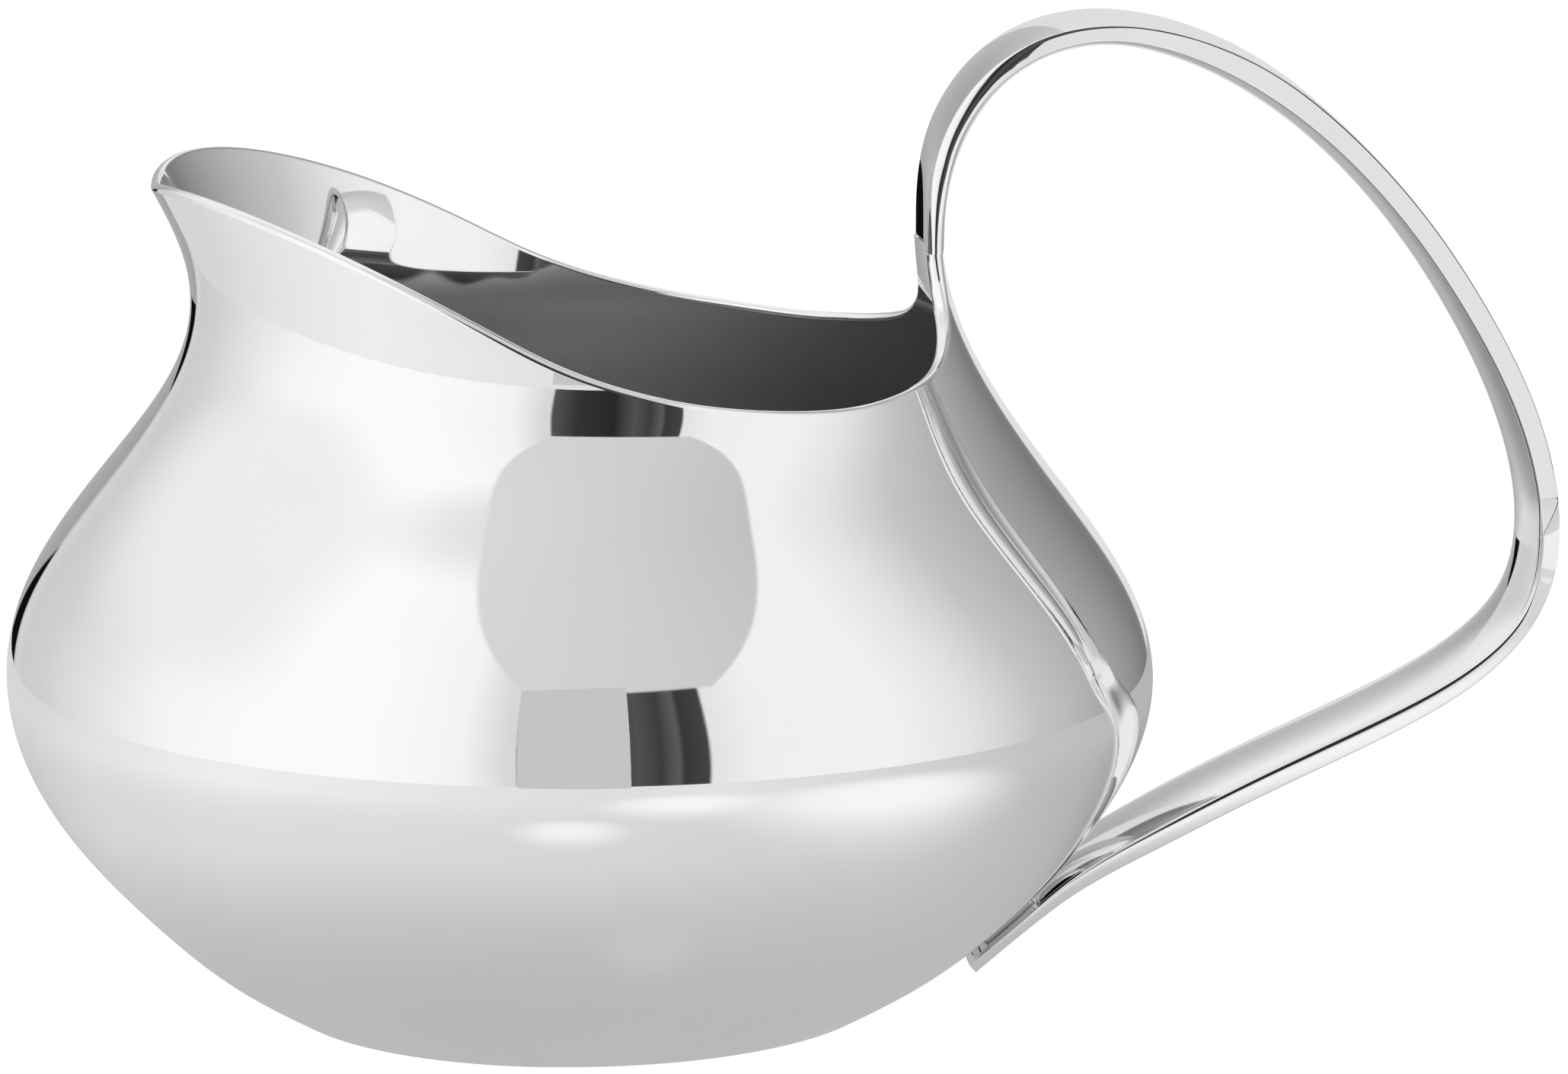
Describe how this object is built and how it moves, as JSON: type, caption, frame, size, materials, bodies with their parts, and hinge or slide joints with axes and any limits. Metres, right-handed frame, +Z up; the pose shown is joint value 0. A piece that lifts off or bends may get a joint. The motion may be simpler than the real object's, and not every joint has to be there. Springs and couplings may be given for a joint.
{
  "type": "cream jug",
  "caption": "Low, wide-bellied polished metal cream jug with a rising pouring lip and a strap handle looping from the back of the rim to the lower body.",
  "frame": {"origin": "centre of the flat underside that the jug stands on", "axes": "+X from the spout towards the handle, +Y to the left of that, +Z up; the jug is the same on both sides of the XZ plane"},
  "size_m": [0.1296, 0.0832, 0.083],
  "materials": {
    "body_metal": "mirror polished silver-coloured metal",
    "handle_metal": "mirror polished silver-coloured metal",
    "strip_metal": "mirror polished silver-coloured metal",
    "solder_metal": "satin, slightly darker solder"
  },
  "bodies": {
    "root": {"lower_bowl": "body_metal", "upper_body": "body_metal", "handle_channel": "handle_metal", "handle_closing_strip": "strip_metal", "handle_end_plate": "handle_metal", "handle_foot_pad": "solder_metal"}
  },
  "joints": []
}
